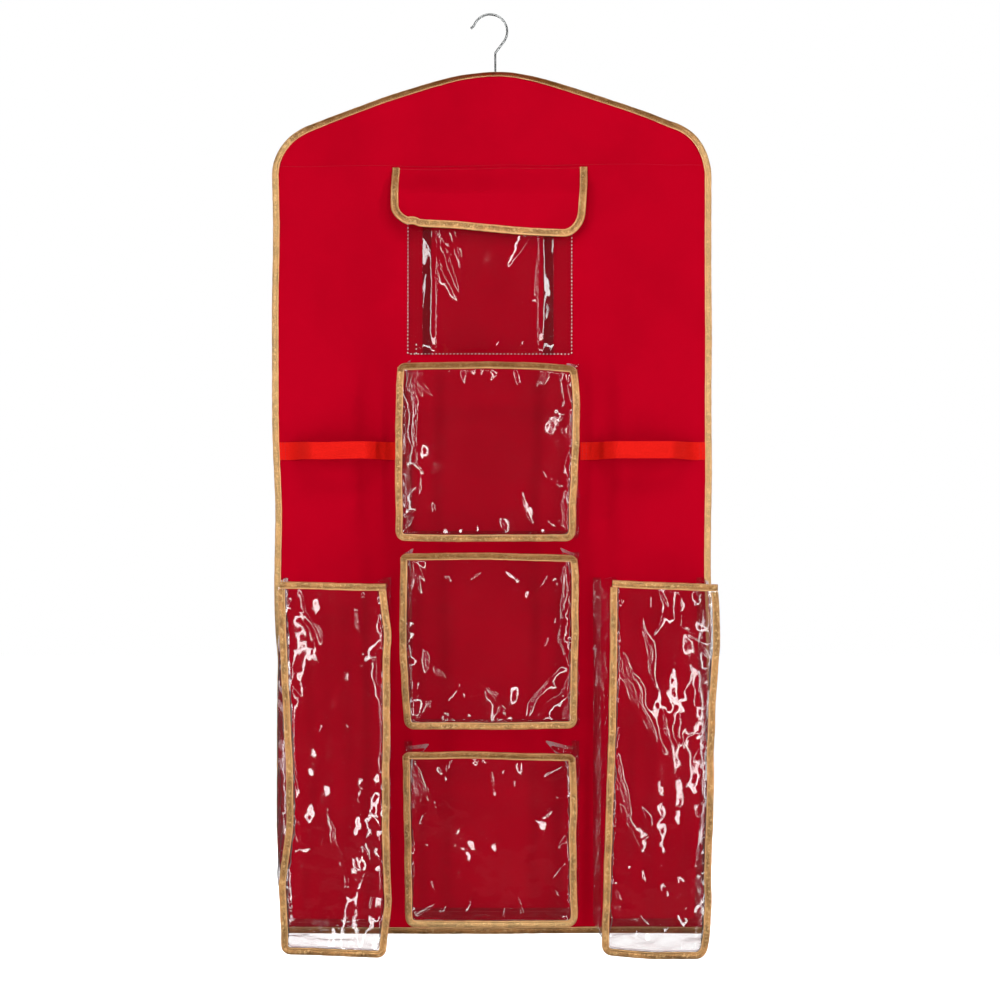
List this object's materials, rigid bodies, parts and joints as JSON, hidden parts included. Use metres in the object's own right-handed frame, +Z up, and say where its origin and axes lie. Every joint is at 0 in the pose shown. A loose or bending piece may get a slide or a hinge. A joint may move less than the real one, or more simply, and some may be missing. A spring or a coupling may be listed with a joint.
{
  "type": "gift wrap organizer",
  "caption": "Hanging fabric organizer with a swivel hook, a flapped pocket, clear box pockets, tall clear roll pockets and elastic straps.",
  "frame": {"origin": "the point inside the hook's crown that bears on a closet rod", "axes": "+Z up, the front with its pockets faces -Y, +X to the right seen from the front"},
  "size_m": [0.616, 0.0999, 1.2938],
  "materials": {
    "red_fabric": "plain woven polyester, matt",
    "gold_tape": "metallic woven binding tape, sparkling",
    "red_elastic": "ribbed woven elastic",
    "red_closure": "hook-and-loop tape",
    "clear_vinyl": "clear soft sheet, glossy",
    "bright_steel": "bright plated wire",
    "hanger_plastic": "moulded, satin"
  },
  "bodies": {
    "hook": {"hook": "bright_steel", "stem_washer": "bright_steel"},
    "organizer": {"hanger_bar": "hanger_plastic", "main_panel": "red_fabric", "back_yoke": "red_fabric", "edge_binding": "gold_tape", "elastic_strap_left": "red_elastic", "elastic_strap_right": "red_elastic", "pocket_loop_tape": "red_closure", "pleated_pocket": "clear_vinyl", "box_pocket_1_front": "clear_vinyl", "box_pocket_1_gusset": "clear_vinyl", "box_pocket_1_edge_tape": "gold_tape", "box_pocket_1_mouth_tape": "gold_tape", "box_pocket_2_front": "clear_vinyl", "box_pocket_2_gusset": "clear_vinyl", "box_pocket_2_edge_tape": "gold_tape", "box_pocket_2_mouth_tape": "gold_tape", "box_pocket_3_front": "clear_vinyl", "box_pocket_3_gusset": "clear_vinyl", "box_pocket_3_edge_tape": "gold_tape", "box_pocket_3_mouth_tape": "gold_tape", "roll_pocket_left_front": "clear_vinyl", "roll_pocket_left_gusset": "clear_vinyl", "roll_pocket_left_edge_tape": "gold_tape", "roll_pocket_left_mouth_tape": "gold_tape", "roll_pocket_right_front": "clear_vinyl", "roll_pocket_right_gusset": "clear_vinyl", "roll_pocket_right_edge_tape": "gold_tape", "roll_pocket_right_mouth_tape": "gold_tape"},
    "flap": {"flap": "red_fabric", "flap_edge_tape": "gold_tape", "flap_hook_tape": "red_closure"}
  },
  "joints": [
    {"name": "hook_swivel", "type": "hinge", "parent": "hook", "child": "organizer", "pos_m": [0.0073, 0.0043, 0], "axis": [0, 0, 1], "continuous": true},
    {"name": "flap_lift", "type": "hinge", "parent": "organizer", "child": "flap", "pos_m": [0.0027, -0.0018, -0.212], "axis": [-1, 0, 0], "range_deg": [0, 160]}
  ]
}
